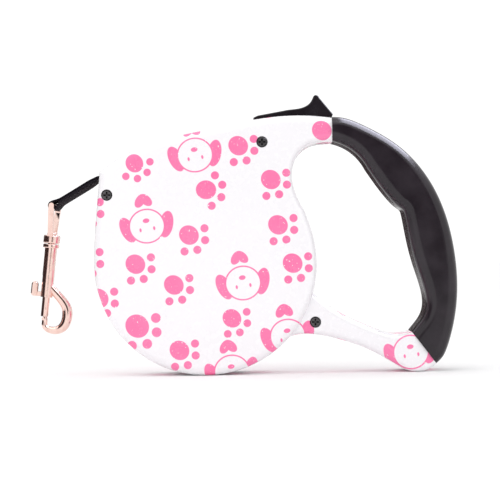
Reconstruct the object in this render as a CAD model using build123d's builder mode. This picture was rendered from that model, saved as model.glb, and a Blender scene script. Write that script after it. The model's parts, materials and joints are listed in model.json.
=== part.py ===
from build123d import *
import os
from math import acos, atan2, cos, degrees, hypot, pi, radians, sin, sqrt

# A retractable pet leash: a round drum case with a neck and a leg that carry a black grip,
# a spring-wound reel of flat tape inside, a thumb brake on the neck, and a snap hook on the tape.
# Millimetres. +Z is up, +X points from the drum to the grip, Y runs across the thickness,
# and the front half of the case is on the -Y side. The case stands on z = 0.

os.makedirs("parts", exist_ok=True)

# ---------------------------------------------------------------- driving dimensions
DRUM_X, DRUM_Z = -33.8, 53.4            # axis of the reel and drum
DRUM_R = 53.4                           # outer radius of the drum wall
DRUM_HALF = 16.0                        # half thickness of the drum
ARM_HALF = 12.5                         # half thickness of the neck and the leg
GRIP_HALF = 13.5                        # half thickness of the grip
WALL = 2.2                              # case wall
GRIP_WALL = 2.4                         # grip wall
CORE_HALF = 5.0                         # half thickness of the spine inside the grip
CORE_INSET = 4.4                        # how far the spine stays inside the grip's outline
EDGE_R = 4.0                            # rounding of the case's face edges
GRIP_EDGE_R = 5.0                       # rounding of the grip's face edges

TAPE_LENGTH = 5000.0                    # whole tape, nearly all of it on the reel at rest
TAPE_WIDTH = 10.0
TAPE_THICK = 0.9
TAPE_TURNS = 21                         # turns on a full reel
SEWN_THICK = 2.0                        # the sewn end is two layers
REEL_MEAN_R = TAPE_LENGTH / (2 * pi * TAPE_TURNS)
HUB_R = REEL_MEAN_R - TAPE_TURNS * TAPE_THICK / 2
WOUND_R = REEL_MEAN_R + TAPE_TURNS * TAPE_THICK / 2

REEL_INSIDE = 5.4                       # half width between the reel's flanges
FLANGE = 2.0                            # thickness of a flange
TOOTH_ROOT_R, TOOTH_TIP_R = 48.4, 50.3  # ratchet rim of both flanges
TEETH = 24
WINDOWS, WINDOW_R = 8, 5.5              # lightening windows of both flanges
SIDE_GAP = 0.3                          # room beside parts that turn
HUB_WALL = 2.0
SHAFT_R = 4.0
RUNNING = 0.1                           # running clearance on a radius

GUIDE_X, GUIDE_Z = -82.2, 94.4          # roller inside the mouth
GUIDE_R = 1.5
GUIDE_PIN_R = 0.75
MOUTH_HALF = 6.2                        # half height of the mouth slot across the thickness

EYE_X, EYE_Z = -107.0, 82.8             # bar of the swivel eye, where the tape folds
EYE_BAR_R = 1.3
EYE_TURN = 8.0                          # the eye's bar leans this far from Y, degrees
HOOK_LEAN = 6.4                         # the hook hangs this far from plumb, degrees
BARREL_R = 2.9                          # tube of the snap hook
PLUNGER_R = 1.8
RIVET_R = 1.6
GATE_TRAVEL = 8.0

PIVOT_X, PIVOT_Z = -20.0, 114.0         # brake lever's pivot
PIVOT_R = 1.5
LEVER_PIN_HALF = 12.5
BRAKE_TURN = 4.5                        # the lever's travel, degrees
LOCK_TRAVEL = 5.0                       # the thumb button's slide
SCREWS = ((-5.8, 111.4, 15.3), (-80.4, 87.1, 16.0), (18.5, 24.7, 12.5))
SCREW_HEAD_R, SCREW_SHANK_R = 2.5, 1.25
SCREW_HEAD = 1.6                        # height of a head
HEAD_SUNK = 2.0                         # depth of a head's seat below the face
CROSS_LONG, CROSS_WIDE, CROSS_DEEP = 3.3, 0.8, 1.1
SCREW_LONG = 8.0                        # how far a screw reaches behind the middle plane
SCREW_BOSS_R = 3.4
PEGS = ((47.0, 105.0), (75.6, 60.0), (76.6, 22.0))
PEG_R = 1.5

CREASE_R = 60.0                         # softens both ends of the slope towards the neck
CHEEK = 2.2                             # walls that hold the guide pin
PIN_HALF = MOUTH_HALF + CHEEK - 0.5     # half length of the guide pin
BOSS_FACE = 9.4                         # height of the shaft's bosses over the middle plane
SHAFT_HALF = 13.4
REEL_OUTSIDE = REEL_INSIDE + FLANGE
TOOTH_PHASE = 39.4                      # puts a gap between teeth under the pawl at rest
POWER_HALF, POWER_THICK = 4.0, 0.5      # the power spring's ribbon
POWER_HALF_TURNS = 22
SLOT_HALF = 5.6                         # half width of the thumb button's slot
NOTCH_Z = 119.6                         # floor of the slot's shallow end
LEVER_HALF, PAWL_HALF = 4.3, 7.2
LEVER_TOP_Z, LEVER_LOW_Z = 120.5, 117.0
LEVER_SEAT_Z = 118.6                    # the brake spring pushes here
PAWL_R = 51.3                           # how far the raised pawl stays from the reel's axis
BUTTON_HALF = 5.2
BUTTON_EDGE_R = 0.7
SPRING_X, SPRING_R, SPRING_WIRE = 20.8, 2.1, 0.35
SHELF_Z = 113.4                         # top of the pad under the brake spring

DRUM = (DRUM_X, DRUM_Z)
PIVOT = (PIVOT_X, PIVOT_Z)
GUIDE = (GUIDE_X, GUIDE_Z)


def front(depth):
    """The side-view plane that lies this far in front of the middle plane (behind it if negative)."""
    return Plane.XZ.offset(depth)


def save(part, name):
    part.label = name
    export_step(part, f"parts/{name}.step")


def on_circle(centre, radius, angle):
    """A point of a circle in the side view, with the angle in degrees from +X towards +Z."""
    return (centre[0] + radius * cos(radians(angle)), centre[1] + radius * sin(radians(angle)))


# ---------------------------------------------------------------- side outlines
MOUTH_CORNER = (-84.0, 98.2)
NECK_TOP, NECK_LOW = (28.0, 122.9), (28.0, 111.3)
LEG_TOP = (64.8, 19.2)
GRIP_THROAT = (44.6, 98.4)
GRIP_TOP = (28.0, 123.3)
HEEL, HEEL_R = (67.0, 14.0), 14.0
HEEL_FROM, HEEL_TO = -47.5, -120        # the part of the heel's circle that shows, degrees
NECK_AT, LEG_TOP_AT, LEG_LOW_AT = 18, -16, -43  # where neck and leg join the drum's rim, degrees
LEG_LOW = on_circle(HEEL, HEEL_R, HEEL_FROM)
DRUM_LEFT = on_circle(DRUM, DRUM_R, 180)
NECK_ROOT = on_circle(DRUM, DRUM_R, NECK_AT)
LEG_ROOT_TOP = on_circle(DRUM, DRUM_R, LEG_TOP_AT)
LEG_ROOT_LOW = on_circle(DRUM, DRUM_R, LEG_LOW_AT)
LEG_INSIDE_TOP, LEG_INSIDE_LOW = (2, 34), (0, 22)   # corners of the leg inside the drum's rim


def drum_profile():
    """The drum with the neck: the neck's top runs on from the mouth in one long curve."""
    with BuildSketch() as profile:
        with BuildLine():
            Spline(MOUTH_CORNER, (-57.1, 112.5), (-30.6, 118.3), (-1.7, 123.5), NECK_TOP)
            Line(NECK_TOP, NECK_LOW)
            Spline(
                NECK_LOW, (13.4, 107.4), (8.4, 94.5), (12.6, 80.8), NECK_ROOT,
                tangents=[(-1, 0), (sin(radians(NECK_AT)), -cos(radians(NECK_AT)))],
            )
            CenterArc(DRUM, DRUM_R, NECK_AT, -180 - NECK_AT)
            Spline(DRUM_LEFT, (-86.1, 76.0), MOUTH_CORNER, tangents=[(0, 1), (0.07, 1)])
        make_face()
    return profile.sketch


def leg_profile():
    """The leg, from inside the drum's rim to its slanted end, standing on its heel."""
    with BuildSketch() as profile:
        with BuildLine():
            Line(LEG_INSIDE_TOP, LEG_ROOT_TOP)
            Spline(LEG_ROOT_TOP, (31.3, 28.4), (43.7, 22.4), (54.7, 18.6), LEG_TOP)
            Line(LEG_TOP, LEG_LOW)
            CenterArc(HEEL, HEEL_R, HEEL_FROM, HEEL_TO - HEEL_FROM)
            Spline(
                on_circle(HEEL, HEEL_R, HEEL_TO), (42.6, 11.8), (31.1, 15.9), (14.5, 19.0), LEG_ROOT_LOW,
                tangents=[
                    (sin(radians(HEEL_TO)), -cos(radians(HEEL_TO))),
                    (sin(radians(LEG_LOW_AT)), -cos(radians(LEG_LOW_AT))),
                ],
            )
            Polyline(LEG_ROOT_LOW, LEG_INSIDE_LOW, LEG_INSIDE_TOP)
        make_face()
    return profile.sketch


def grip_profile():
    """The grip, bowed outwards, between the neck's end and the leg's end."""
    with BuildSketch() as profile:
        with BuildLine():
            Spline(
                GRIP_TOP, (42.4, 119.5), (60.4, 108.6), (76.4, 89.1), (85.4, 62.5), (87.3, 43.0),
                (84.5, 19.8), (80.4, 8.0), LEG_LOW,
                tangents=[(1, 0.05), (-0.75, -0.66)],
            )
            Line(LEG_LOW, LEG_TOP)
            Spline(
                LEG_TOP, (70.6, 27.0), (66.4, 55.0), (62.0, 76.5), GRIP_THROAT,
                tangents=[(0.8, 1), (-0.55, 0.84)],
            )
            TangentArc(GRIP_THROAT, NECK_LOW, tangent=(-0.45, 0.89))
            Line(NECK_LOW, GRIP_TOP)
        make_face()
    return profile.sketch


# ---------------------------------------------------------------- walls
BEVEL = 1.25                            # inner corners are cut off this many wall thicknesses back


def shrink(profile, inset):
    """The outline a fixed distance inside another one, with its corners cut off straight."""
    face = profile.faces()[0]
    runs = []
    for edge in face.outer_wire().order_edges():
        trim = BEVEL * inset / edge.length
        side = inset if face.is_inside(beside(edge, 0.5, 0.2)) else -inset
        runs.append((edge, [beside(edge, trim + (1 - 2 * trim) * k / 8, side) for k in range(9)]))
    with BuildSketch() as inner:
        with BuildLine():
            for k, (edge, points) in enumerate(runs):
                following = runs[(k + 1) % len(runs)][1]
                if edge.geom_type == GeomType.LINE:
                    Line(points[0], points[-1])
                elif edge.geom_type == GeomType.CIRCLE:
                    ThreePointArc(points[0], points[4], points[-1])
                else:
                    Spline(*points)
                Line(points[-1], following[0])
        make_face()
    return inner.sketch


def beside(edge, at, distance):
    """A point to the left of an edge, or to its right if the distance is negative."""
    point, along = edge @ at, edge % at
    return (point.X - distance * along.Y, point.Y + distance * along.X)


# ---------------------------------------------------------------- case
RAMP_AT, RAMP_LONG = 57.0, 22.0         # where the drum starts to thin towards the neck, and over how far
BEYOND = 80.0                           # reaches past the case's edges from there
NECK_PAD, NECK_PAD_SIZE = (31.0, 117.0), (8.0, 3.6)     # thick ends of the spine, at the neck
LEG_PAD, LEG_PAD_SIZE = (70.6, 11.4), (12.0, 9.0)       # and at the leg
LEG_PAD_TURN = degrees(atan2(0.6, 0.8))
SNUG = 0.05                             # clearance on a radius around fixed shafts and pins
TIGHT = 0.02                            # and where a pin or a screw is held
SCREW_ROOM = 0.25                       # and around a screw that turns


def neck_ramp(inset):
    """What is taken off the drum's face where it slopes down to the neck, towards 45 degrees."""
    along = Plane(origin=(DRUM_X, 0, DRUM_Z), x_dir=(1, 0, 1), z_dir=(-1, 0, 1))
    high, low = inset - DRUM_HALF, inset - ARM_HALF
    with BuildPart() as wedge:
        with BuildSketch(along):
            Polygon(
                (RAMP_AT, high), (RAMP_AT + RAMP_LONG, low), (RAMP_AT + BEYOND, low),
                (RAMP_AT + BEYOND, high - EDGE_R), (RAMP_AT, high - EDGE_R),
                align=None,
            )
        extrude(amount=BEYOND, both=True)
    return wedge.part


def drum_cavity():
    """The room inside the drum and the neck, for one half of the case."""
    with BuildPart() as room:
        with BuildSketch(Plane.XZ):
            add(shrink(drum_profile(), WALL))
        extrude(amount=DRUM_HALF - WALL)
        add(neck_ramp(WALL), mode=Mode.SUBTRACT)
    return room.part


def leg_cavity():
    """The room inside the leg, outside the drum's rim."""
    with BuildPart() as room:
        with BuildSketch(Plane.XZ):
            add(shrink(leg_profile(), WALL))
            with Locations(DRUM):
                Circle(DRUM_R + 1, mode=Mode.SUBTRACT)
        extrude(amount=ARM_HALF - WALL)
    return room.part


def core_profile(room):
    """The spine that joins neck and leg inside the grip, with room around it for its slots."""
    with BuildSketch() as profile:
        add(shrink(grip_profile(), CORE_INSET - room))
        with Locations(NECK_PAD):
            Rectangle(NECK_PAD_SIZE[0] + 2 * room, NECK_PAD_SIZE[1] + 2 * room)
        with Locations(LEG_PAD):
            Rectangle(LEG_PAD_SIZE[0] + 2 * room, LEG_PAD_SIZE[1] + 2 * room, rotation=LEG_PAD_TURN)
    return profile.sketch


def is_crease(edge):
    """True for the straight lines, at 45 degrees, where the ramp meets the flat faces."""
    lean = edge % 0.5
    return edge.geom_type == GeomType.LINE and abs(lean.X + lean.Z) < 0.01 and abs(lean.Y) < 0.01


def is_rim(edge):
    """True for the edges around the drum's outer face, except the one against the grip."""
    middle = edge.center()
    return middle.Y < 0.1 - ARM_HALF and abs(middle.X - NECK_TOP[0]) > 0.5 and not is_crease(edge)


def case_blank():
    """The front half of the case before its bosses and holes: walls, end faces and grip spine."""
    with BuildPart() as drum:
        with BuildSketch(Plane.XZ):
            add(drum_profile())
        extrude(amount=DRUM_HALF)
        add(neck_ramp(0), mode=Mode.SUBTRACT)
        fillet(drum.edges().filter_by(is_crease), CREASE_R)
        fillet(drum.edges().filter_by(is_rim), EDGE_R)
    with BuildPart() as leg:
        with BuildSketch(Plane.XZ):
            add(leg_profile())
        extrude(amount=ARM_HALF)
        fillet(leg.faces().sort_by(Axis.Y)[0].edges().filter_by(GeomType.LINE, reverse=True), EDGE_R - 1)
    with BuildPart() as blank:
        add(drum.part)
        add(leg.part)
        add(drum_cavity(), mode=Mode.SUBTRACT)
        add(leg_cavity(), mode=Mode.SUBTRACT)
        with BuildSketch(Plane.XZ):
            add(core_profile(0))
        extrude(amount=CORE_HALF)
        with BuildSketch(Plane.XZ):
            with Locations(*PEGS):
                Circle(PEG_R + RUNNING)
        extrude(amount=CORE_HALF, mode=Mode.SUBTRACT)
        # cheeks that hold the guide pin beside the mouth
        with BuildSketch(front(MOUTH_HALF)):
            add(drum_profile())
            with Locations((GUIDE_X + 1.2, GUIDE_Z)):
                Rectangle(7.6, 12.0, mode=Mode.INTERSECT)
        extrude(amount=CHEEK)
        # a pad under the brake spring
        with BuildSketch(Plane.XZ):
            with Locations((SPRING_X, SHELF_Z)):
                Rectangle(2 * SPRING_R + 1.6, 2.4, align=(Align.CENTER, Align.MAX))
        extrude(amount=SPRING_R + 0.8)
        # bosses of the shaft and of the lever's pin
        with BuildSketch(front(BOSS_FACE)):
            with Locations(DRUM):
                Circle(SHAFT_R + 2.6)
                Circle(SHAFT_R + SNUG, mode=Mode.SUBTRACT)
        extrude(amount=DRUM_HALF - WALL - BOSS_FACE)
        with BuildSketch(front(LEVER_HALF + SIDE_GAP)):
            with Locations(PIVOT):
                Circle(PIVOT_R + 1.6)
                Circle(PIVOT_R + SNUG, mode=Mode.SUBTRACT)
        extrude(amount=DRUM_HALF - WALL - LEVER_HALF - SIDE_GAP)
        # slot in the neck's top for the thumb button, and its shallow end over the neck's end wall
        with BuildSketch(Plane.XZ):
            with Locations((-13.5, 116.0)):
                Rectangle(39.2, 12.0, align=(Align.MIN, Align.MIN))
            with Locations((25.6, NOTCH_Z)):
                Rectangle(6.0, 6.0, align=(Align.MIN, Align.MIN))
        extrude(amount=SLOT_HALF, mode=Mode.SUBTRACT)
        # mouth slot through the left wall, and the guide pin's hole
        with BuildSketch(Plane.XZ):
            with Locations((-79.4, 97.4)):
                Rectangle(8.0, 5.4, align=(Align.MAX, Align.MAX))
        extrude(amount=MOUTH_HALF, mode=Mode.SUBTRACT)
        with BuildSketch(Plane.XZ):
            with Locations(GUIDE):
                Circle(GUIDE_PIN_R + TIGHT)
        extrude(amount=PIN_HALF + 0.1, mode=Mode.SUBTRACT)
    return blank.part


def make_front_shell(blank):
    with BuildPart() as front_shell:
        add(blank)
        for x, z, face in SCREWS:
            seat = face - HEAD_SUNK
            with BuildSketch(Plane.XZ):
                with Locations((x, z)):
                    Circle(SCREW_BOSS_R)
            extrude(amount=seat + 0.2)
            with BuildSketch(Plane.XZ):
                with Locations((x, z)):
                    Circle(SCREW_SHANK_R + SCREW_ROOM)
            extrude(amount=face, mode=Mode.SUBTRACT)
            with BuildSketch(front(seat)):
                with Locations((x, z)):
                    Circle(SCREW_HEAD_R + SCREW_ROOM)
            extrude(amount=4, mode=Mode.SUBTRACT)
    save(front_shell.part, "front_shell")


def make_rear_shell(blank):
    with BuildPart() as rear_shell:
        add(mirror(blank, about=Plane.XZ))
        for x, z, face in SCREWS:
            with BuildSketch(Plane.XZ):
                with Locations((x, z)):
                    Circle(SCREW_BOSS_R)
            extrude(amount=-(face - HEAD_SUNK + 0.2))
            with BuildSketch(Plane.XZ):
                with Locations((x, z)):
                    Circle(SCREW_SHANK_R + TIGHT)
            extrude(amount=-(SCREW_LONG + 1), mode=Mode.SUBTRACT)
    save(rear_shell.part, "rear_shell")


def make_case_screws():
    """The three pan-head cross-slot screws, driven from the front."""
    with BuildPart() as case_screws:
        for x, z, face in SCREWS:
            seat = face - HEAD_SUNK
            with BuildSketch(front(-SCREW_LONG)):
                with Locations((x, z)):
                    Circle(SCREW_SHANK_R)
            extrude(amount=seat + SCREW_LONG)
            with BuildSketch(front(seat)):
                with Locations((x, z)):
                    Circle(SCREW_HEAD_R)
            extrude(amount=SCREW_HEAD)
        heads = case_screws.edges().filter_by(GeomType.CIRCLE).filter_by(is_head_rim)
        fillet(heads, 0.6)
        for x, z, face in SCREWS:
            with BuildSketch(front(face - HEAD_SUNK + SCREW_HEAD - CROSS_DEEP)):
                with Locations((x, z)):
                    Rectangle(CROSS_LONG, CROSS_WIDE)
                    Rectangle(CROSS_WIDE, CROSS_LONG)
            extrude(amount=2, mode=Mode.SUBTRACT)
    save(case_screws.part, "case_screws")


def is_head_rim(edge):
    """True for the outer edge of a screw head's face."""
    tops = [face - HEAD_SUNK + SCREW_HEAD for _, _, face in SCREWS]
    at_top = min(abs(edge.center().Y + top) for top in tops) < 0.01
    return at_top and abs(edge.radius - SCREW_HEAD_R) < 0.01


def grip_blank():
    """The front half of the hollow grip, with pegs that locate it on the spine."""
    with BuildPart() as half:
        with BuildSketch(Plane.XZ):
            add(grip_profile())
        extrude(amount=GRIP_HALF)
        face = half.faces().sort_by(Axis.Y)[0]
        fillet(face.edges().filter_by(GeomType.LINE, reverse=True), GRIP_EDGE_R)
        with BuildSketch(Plane.XZ):
            add(shrink(grip_profile(), GRIP_WALL))
        extrude(amount=GRIP_HALF - GRIP_WALL, mode=Mode.SUBTRACT)
        with BuildSketch(Plane.XZ):
            add(core_profile(RUNNING))
        extrude(amount=CORE_HALF + RUNNING, mode=Mode.SUBTRACT)
        with BuildSketch(Plane.XZ):
            with Locations((24.0, NOTCH_Z)):
                Rectangle(7.6, 6.0, align=(Align.MIN, Align.MIN))
        extrude(amount=SLOT_HALF, mode=Mode.SUBTRACT)
        with BuildSketch(front(0.6)):
            with Locations(*PEGS):
                Circle(PEG_R)
        extrude(amount=GRIP_HALF - GRIP_WALL - 0.4)
    return half.part


def make_grips():
    half = grip_blank()
    save(half, "front_grip")
    save(mirror(half, about=Plane.XZ), "rear_grip")


def make_guide():
    """A steel pin across the mouth and the roller that the tape bends over."""
    with BuildPart() as guide_pin:
        with BuildSketch(front(-PIN_HALF)):
            with Locations(GUIDE):
                Circle(GUIDE_PIN_R)
        extrude(amount=2 * PIN_HALF)
    save(guide_pin.part, "guide_pin")
    with BuildPart() as guide_roller:
        with BuildSketch(front(-MOUTH_HALF + SIDE_GAP)):
            with Locations(GUIDE):
                Circle(GUIDE_R)
                Circle(GUIDE_PIN_R + RUNNING, mode=Mode.SUBTRACT)
        extrude(amount=2 * (MOUTH_HALF - SIDE_GAP))
    save(guide_roller.part, "guide_roller")


# ---------------------------------------------------------------- reel
def make_centre_shaft():
    """The fixed shaft between the shells, slotted for the spring's inner end."""
    with BuildPart() as centre_shaft:
        with BuildSketch(front(-SHAFT_HALF)):
            with Locations(DRUM):
                Circle(SHAFT_R)
        extrude(amount=2 * SHAFT_HALF)
        chamfer(centre_shaft.edges().filter_by(GeomType.CIRCLE), 0.5)
        with BuildSketch(front(-POWER_HALF - SIDE_GAP)):
            with Locations(DRUM):
                Rectangle(SHAFT_R + 1, 0.9, align=(Align.MIN, Align.CENTER))
        extrude(amount=2 * (POWER_HALF + SIDE_GAP), mode=Mode.SUBTRACT)
    save(centre_shaft.part, "centre_shaft")


def make_thrust_washers():
    with BuildPart() as thrust_washers:
        for depth in (REEL_OUTSIDE + 0.4, -REEL_OUTSIDE - 1.3):
            with BuildSketch(front(depth)):
                with Locations(DRUM):
                    Circle(SHAFT_R + 3.2)
                    Circle(SHAFT_R + RUNNING, mode=Mode.SUBTRACT)
            extrude(amount=0.9)
    save(thrust_washers.part, "thrust_washers")


def ratchet_disc(bore):
    """A flange's outline: a disc with saw teeth around its rim for the brake's pawl."""
    step = 360 / TEETH
    with BuildSketch() as disc:
        with Locations(DRUM):
            Circle(TOOTH_ROOT_R)
        for k in range(TEETH):
            at = TOOTH_PHASE + k * step
            with BuildLine():
                Polyline(
                    on_circle(DRUM, TOOTH_ROOT_R - 0.5, at),
                    on_circle(DRUM, TOOTH_TIP_R, at + 0.43 * step),
                    on_circle(DRUM, TOOTH_TIP_R, at + 0.55 * step),
                    on_circle(DRUM, TOOTH_ROOT_R - 0.5, at + 0.55 * step),
                    close=True,
                )
            make_face()
        with Locations(DRUM):
            Circle(bore, mode=Mode.SUBTRACT)
    return disc.sketch


def make_reel():
    """Front flange and hub in one moulding. The hub is the power spring's housing."""
    with BuildPart() as reel:
        with BuildSketch(front(REEL_INSIDE)):
            add(ratchet_disc(SHAFT_R + RUNNING))
        extrude(amount=FLANGE)
        with BuildSketch(front(-REEL_INSIDE)):
            with Locations(DRUM):
                Circle(HUB_R)
                Circle(HUB_R - HUB_WALL, mode=Mode.SUBTRACT)
        extrude(amount=2 * REEL_INSIDE)
        # lightening windows in the flange
        with BuildSketch(front(REEL_INSIDE)):
            with Locations(DRUM):
                with PolarLocations(0.5 * (HUB_R + TOOTH_ROOT_R), WINDOWS):
                    Circle(WINDOW_R)
        extrude(amount=FLANGE, mode=Mode.SUBTRACT)
    save(reel.part, "reel")


def make_reel_flange():
    """The rear flange, a ring that closes the reel around the spring cover."""
    with BuildPart() as reel_flange:
        with BuildSketch(front(-REEL_OUTSIDE)):
            add(ratchet_disc(HUB_R - HUB_WALL))
        extrude(amount=FLANGE)
        with BuildSketch(front(-REEL_OUTSIDE)):
            with Locations(DRUM):
                with PolarLocations(0.5 * (HUB_R + TOOTH_ROOT_R), WINDOWS):
                    Circle(WINDOW_R)
        extrude(amount=FLANGE, mode=Mode.SUBTRACT)
    save(reel_flange.part, "reel_flange")


def make_spring_cover():
    with BuildPart() as spring_cover:
        with BuildSketch(front(-REEL_OUTSIDE)):
            with Locations(DRUM):
                Circle(HUB_R - HUB_WALL - 0.1)
                Circle(SHAFT_R + RUNNING, mode=Mode.SUBTRACT)
        extrude(amount=FLANGE - 0.4)
    save(spring_cover.part, "spring_cover")


def make_tape_winding():
    """The tape on the reel, as one ring of its full width."""
    with BuildPart() as tape_winding:
        with BuildSketch(front(-TAPE_WIDTH / 2)):
            with Locations(DRUM):
                Circle(WOUND_R)
                Circle(HUB_R + SNUG, mode=Mode.SUBTRACT)
        extrude(amount=TAPE_WIDTH)
    save(tape_winding.part, "tape_winding")


def make_power_spring():
    """A steel ribbon wound inside the hub. Its inner end hooks into the shaft's slot."""
    first = SHAFT_R + 1.2
    pitch = (HUB_R - HUB_WALL - 0.5 - POWER_THICK - first) / (POWER_HALF_TURNS / 2)
    last = first + (POWER_HALF_TURNS - 1) * pitch / 2
    end_x = DRUM_X + pitch / 2 + last
    with BuildPart() as power_spring:
        with BuildSketch(front(-POWER_HALF)):
            with BuildLine():
                # half circles whose centres alternate, so the radius grows by a pitch each turn
                for k in range(POWER_HALF_TURNS):
                    centre = (DRUM_X + (k % 2) * pitch / 2, DRUM_Z)
                    CenterArc(centre, first + k * pitch / 2, 180 * (k % 2), 180)
                    CenterArc(centre, first + k * pitch / 2 + POWER_THICK, 180 * (k % 2), 180)
                Line((DRUM_X + first, DRUM_Z), (DRUM_X + first + POWER_THICK, DRUM_Z))
                Line((end_x, DRUM_Z), (end_x + POWER_THICK, DRUM_Z))
            make_face()
            with Locations((DRUM_X + 1.6, DRUM_Z - 0.1)):
                Rectangle(first + POWER_THICK - 1.6, 0.5, align=(Align.MIN, Align.CENTER))
        extrude(amount=2 * POWER_HALF)
    save(power_spring.part, "power_spring")


# ---------------------------------------------------------------- brake
def make_brake_lever():
    """The lever under the thumb button, with the pawl that drops into the reel's teeth."""
    low, high = on_circle(DRUM, PAWL_R, 48.6), on_circle(DRUM, PAWL_R, 52.4)
    with BuildPart() as brake_lever:
        with BuildSketch(front(-LEVER_HALF)):
            with Locations(PIVOT):
                Circle(PIVOT_R + 1.9)
            with BuildLine():
                Polyline(
                    (-20.0, 116.8), (-9.0, 119.3), (-7.5, LEVER_TOP_Z), (24.8, LEVER_TOP_Z),
                    (24.8, LEVER_SEAT_Z), (17.4, LEVER_SEAT_Z), (17.4, LEVER_LOW_Z), (4.6, LEVER_LOW_Z),
                    (3.6, 99.0), low, high, (-1.4, 105.0), (-1.4, 116.4), (-9.0, 116.4), (-12.0, 113.5),
                    (-18.0, 111.2), (-20.0, 116.8),
                )
            make_face()
            with Locations(PIVOT):
                Circle(PIVOT_R + RUNNING, mode=Mode.SUBTRACT)
        extrude(amount=2 * LEVER_HALF)
        with BuildSketch(front(-PAWL_HALF)):
            with BuildLine():
                Polyline((3.4, 97.6), low, high, (-2.1, 98.0), close=True)
            make_face()
        extrude(amount=2 * PAWL_HALF)
        # slot for the thumb button's stem
        with BuildSketch(front(-1.6)):
            with Locations((6.8, 114.0)):
                Rectangle(9.6, 8.0, align=(Align.MIN, Align.MIN))
        extrude(amount=3.2, mode=Mode.SUBTRACT)
    save(brake_lever.part, "brake_lever")


def make_brake_button():
    """The thumb button: a finned cap with a long tongue that keeps its slot covered, and a footed stem."""
    underside = LEVER_TOP_Z + 0.2
    with BuildPart() as brake_button:
        with BuildSketch(front(-BUTTON_HALF)):
            with BuildLine():
                Polyline((-9.7, 122.4), (-9.7, 123.8), (-7.4, 124.9), (6.5, 127.3))
                Spline(
                    (6.5, 127.3), (13.4, 128.2), (17.6, 130.4), (19.4, 133.4),
                    tangents=[(0.98, 0.17), (0.4, 0.92)],
                )
                ThreePointArc((19.4, 133.4), (20.8, 134.4), (22.2, 133.3))
                Polyline(
                    (22.2, 133.3), (28.9, 125.0), (28.4, 123.8), (24.4, 123.6), (24.4, underside),
                    (-4.0, underside), (-9.7, 122.4),
                )
            make_face()
        extrude(amount=2 * BUTTON_HALF)
        fillet(brake_button.edges().filter_by(is_button_rim), BUTTON_EDGE_R)
        with BuildSketch(front(-1.4)):
            with Locations((12.0, 116.2)):
                Rectangle(4.0, 6.0, align=(Align.MIN, Align.MIN))
        extrude(amount=2.8)
        with BuildSketch(front(-3.0)):
            with Locations((11.2, 115.2)):
                Rectangle(5.6, 1.7, align=(Align.MIN, Align.MIN))
        extrude(amount=6.0)
    save(brake_button.part, "brake_button")


def is_button_rim(edge):
    """True for the long edges along the thumb button's top, on both sides."""
    middle = edge.center()
    return abs(abs(middle.Y) - BUTTON_HALF) < 0.01 and middle.Z > 124.5


def make_lever_pin():
    with BuildPart() as lever_pin:
        with BuildSketch(front(-LEVER_PIN_HALF)):
            with Locations(PIVOT):
                Circle(PIVOT_R)
        extrude(amount=2 * LEVER_PIN_HALF)
    save(lever_pin.part, "lever_pin")


def coil(plane, radius, wire, length, turns):
    """A compression spring that stands on a plane."""
    rise = length - wire
    with BuildPart() as spring:
        with BuildLine() as path:
            Helix(pitch=rise / turns, height=rise, radius=radius)
        with BuildSketch(Plane(origin=path.line @ 0, z_dir=path.line % 0)):
            Circle(wire / 2)
        sweep()
    return plane.location * spring.part


def make_brake_spring():
    """Pushes the lever, and so the thumb button, back up."""
    stand = Plane(origin=(SPRING_X, 0, SHELF_Z + SPRING_WIRE / 2 + 0.05), z_dir=(0, 0, 1))
    save(coil(stand, SPRING_R, SPRING_WIRE, LEVER_SEAT_Z - SHELF_Z - 0.1, 4), "brake_spring")


# ---------------------------------------------------------------- tape
LEAD_GAP = 0.3                          # keeps the moving tape off the winding and the roller
LEAD_OUT = 1.6                          # the lead ends this far past the roller, outside the case
WOUND_TOP_R = WOUND_R + LEAD_GAP + TAPE_THICK / 2
GUIDE_TOP_R = GUIDE_R + LEAD_GAP + TAPE_THICK / 2
TO_GUIDE = hypot(GUIDE_X - DRUM_X, GUIDE_Z - DRUM_Z)
TO_EYE = hypot(EYE_X - GUIDE_X, EYE_Z - GUIDE_Z)
# where the tape leaves the winding and where it leaves the roller, as angles in the side view
LEAVES_REEL = (degrees(atan2(GUIDE_Z - DRUM_Z, GUIDE_X - DRUM_X))
               - degrees(acos((WOUND_TOP_R - GUIDE_TOP_R) / TO_GUIDE)))
LEAVES_GUIDE = (degrees(atan2(EYE_Z - GUIDE_Z, EYE_X - GUIDE_X)) % 360
                - degrees(acos(GUIDE_TOP_R / TO_EYE)))
TAPE_ANGLE = LEAVES_GUIDE + 90          # the tape's direction outside the mouth
TAPE_ALONG = Vector(cos(radians(TAPE_ANGLE)), 0, sin(radians(TAPE_ANGLE)))
TAPE_NORMAL = Vector(cos(radians(LEAVES_GUIDE)), 0, sin(radians(LEAVES_GUIDE)))
TAPE_TWIST = 7.5                        # the tape's width leans this far from Y outside, degrees
TAPE_ACROSS = Vector(0, cos(radians(TAPE_TWIST)), 0) - TAPE_NORMAL * sin(radians(TAPE_TWIST))
LEAN = radians(HOOK_LEAN)
HOOK_UP = Vector(sin(LEAN), 0, cos(LEAN))
HOOK_ACROSS = Vector(cos(LEAN), 0, -sin(LEAN))
EYE = Vector(EYE_X, 0, EYE_Z)
EYE_BAR = HOOK_ACROSS * sin(radians(EYE_TURN)) + Vector(0, cos(radians(EYE_TURN)), 0)


def past_guide(radius, distance):
    """A point of the line along which the tape leaves the roller."""
    x, z = on_circle(GUIDE, radius, LEAVES_GUIDE)
    return (x + distance * TAPE_ALONG.X, z + distance * TAPE_ALONG.Z)


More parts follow.
